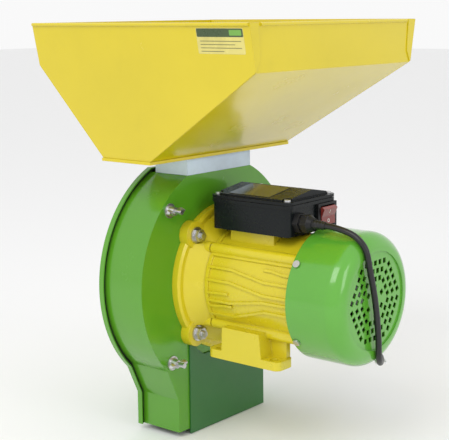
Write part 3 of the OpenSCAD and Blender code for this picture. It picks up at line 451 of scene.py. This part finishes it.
def make_relief_rings():
    """Moulded rings round the lead's strain relief, sized on its own taper."""
    low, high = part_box("strain_relief")
    tree = surface_of("strain_relief")
    centre = Vector(((low[0] + high[0]) / 2, 0, (low[2] + high[2]) / 2))
    mesh = bpy.data.meshes.new("relief_rings")
    made = bmesh.new()
    around, across = 32, 8
    bulge, width = 0.45 * MM, 0.8 * MM
    for k in range(RELIEF_RINGS):
        y = low[1] + (high[1] - low[1]) * (0.22 + 0.155 * k)
        start = centre + Vector((0.05, y, 0))
        hit = tree.ray_cast(start, Vector((-1, 0, 0)))[0]
        radius = hit.x - centre.x
        rows = []
        for i in range(around):
            turn = 2 * math.pi * i / around
            way = Vector((math.cos(turn), 0, math.sin(turn)))
            row = []
            for j in range(across):
                angle = 2 * math.pi * j / across
                corner = Vector((centre.x, y + width * math.sin(angle), centre.z))
                row.append(made.verts.new(corner + way * (radius + bulge * math.cos(angle))))
            rows.append(row)
        for i in range(around):
            for j in range(across):
                face = made.faces.new((rows[i][j], rows[(i + 1) % around][j],
                                       rows[(i + 1) % around][(j + 1) % across],
                                       rows[i][(j + 1) % across]))
                face.smooth = True
    bmesh.ops.recalc_face_normals(made, faces=made.faces)
    made.to_mesh(mesh)
    made.free()
    rings = bpy.data.objects.new("relief_rings", mesh)
    bpy.context.scene.collection.objects.link(rings)
    mesh.materials.append(MATERIALS["rubber"])
    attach(rings, "frame")


# ---------------------------------------------------------------- studio
def area_light(name, place, target, size, power):
    """A soft rectangular light at place, turned to target."""
    data = bpy.data.lights.new(name, "AREA")
    data.shape = "RECTANGLE"
    data.size, data.size_y = size
    data.energy = power
    light = bpy.data.objects.new(name, data)
    light.location = place
    way = Vector(target) - Vector(place)
    light.rotation_euler = way.to_track_quat("-Z", "Y").to_euler()
    bpy.context.scene.collection.objects.link(light)


def stage_plate(name, outline, top, thick, material):
    """A plain prop plate, such as the floor; its outline is in mm."""
    mesh = bpy.data.meshes.new(name)
    made = bmesh.new()
    rows = [[made.verts.new((x * MM, y * MM, z)) for x, y in outline]
            for z in (top - thick, top)]
    count = len(outline)
    for i in range(count):
        made.faces.new((rows[0][i], rows[0][(i + 1) % count],
                        rows[1][(i + 1) % count], rows[1][i]))
    made.faces.new(rows[1])
    made.faces.new(rows[0][::-1])
    made.to_mesh(mesh)
    made.free()
    plate = bpy.data.objects.new(name, mesh)
    bpy.context.scene.collection.objects.link(plate)
    mesh.materials.append(material)


def make_stand(floor_z, material):
    """Props under the coil, the plug and the resting stretch of the lead."""
    coil = (COIL_CENTRE[0] / MM, COIL_CENTRE[1] / MM)
    lower_top = STAND_TOP - 0.1 * MM
    arm_t = STAND_T - 0.2 * MM
    post_top = lower_top - arm_t
    stage_plate("coil_stand", circle(coil, COIL_STAND_R, 48), STAND_TOP, STAND_T, material)
    stage_plate("stand_arm", [(-150, -30), (-98, -30), (-78, -172), (-98, -172)],
                lower_top, arm_t, material)
    stage_plate("stand_post", circle(POST_AT, POST_R, 32), post_top, post_top - floor_z, material)
    stage_plate("plug_stand", [(-255, -56), (-150, -56), (-150, -20), (-255, -20)],
                STAND_TOP, STAND_T, material)
    run = [(x, y) for x, y, z in LEAD if z < 5 and x < -33]
    left, right = [], []
    for (ax, ay), (bx, by) in zip(run, run[1:]):
        way = Vector((bx - ax, by - ay)).normalized() * LEAD_STAND_HALF
        left.append((ax - way.y, ay + way.x))
        right.append((ax + way.y, ay - way.x))
    stage_plate("lead_stand", left + right[::-1], lower_top, STAND_T, material)


def make_studio():
    """Pale floor, white surroundings, a soft key light and a softer fill."""
    floor_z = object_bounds()[0][2] - 0.001
    material, _, bsdf = new_material("pale_floor")
    bsdf.inputs["Base Color"].default_value = (0.88, 0.88, 0.88, 1)
    bsdf.inputs["Roughness"].default_value = 0.9
    reach = 12000
    stage_plate("floor", [(-reach, -reach), (reach, -reach), (reach, reach), (-reach, reach)],
                floor_z, 0.01, material)
    make_stand(floor_z, material)
    world = bpy.data.worlds.new("studio")
    world.use_nodes = True
    background = world.node_tree.nodes["Background"]
    background.inputs["Color"].default_value = (1, 1, 1, 1)
    background.inputs["Strength"].default_value = 0.95
    bpy.context.scene.world = world
    area_light("key", (1.6, 0.2, 1.7), (0, 0, 0.15), (1.4, 1.0), 16)
    area_light("fill", (0.3, 2.2, 0.9), (0, 0, 0.1), (0.7, 1.2), 7)
    bpy.context.scene.view_settings.view_transform = "Standard"


make_camera()
make_cord()
dress_cad()
make_prints()
make_relief_rings()
make_studio()
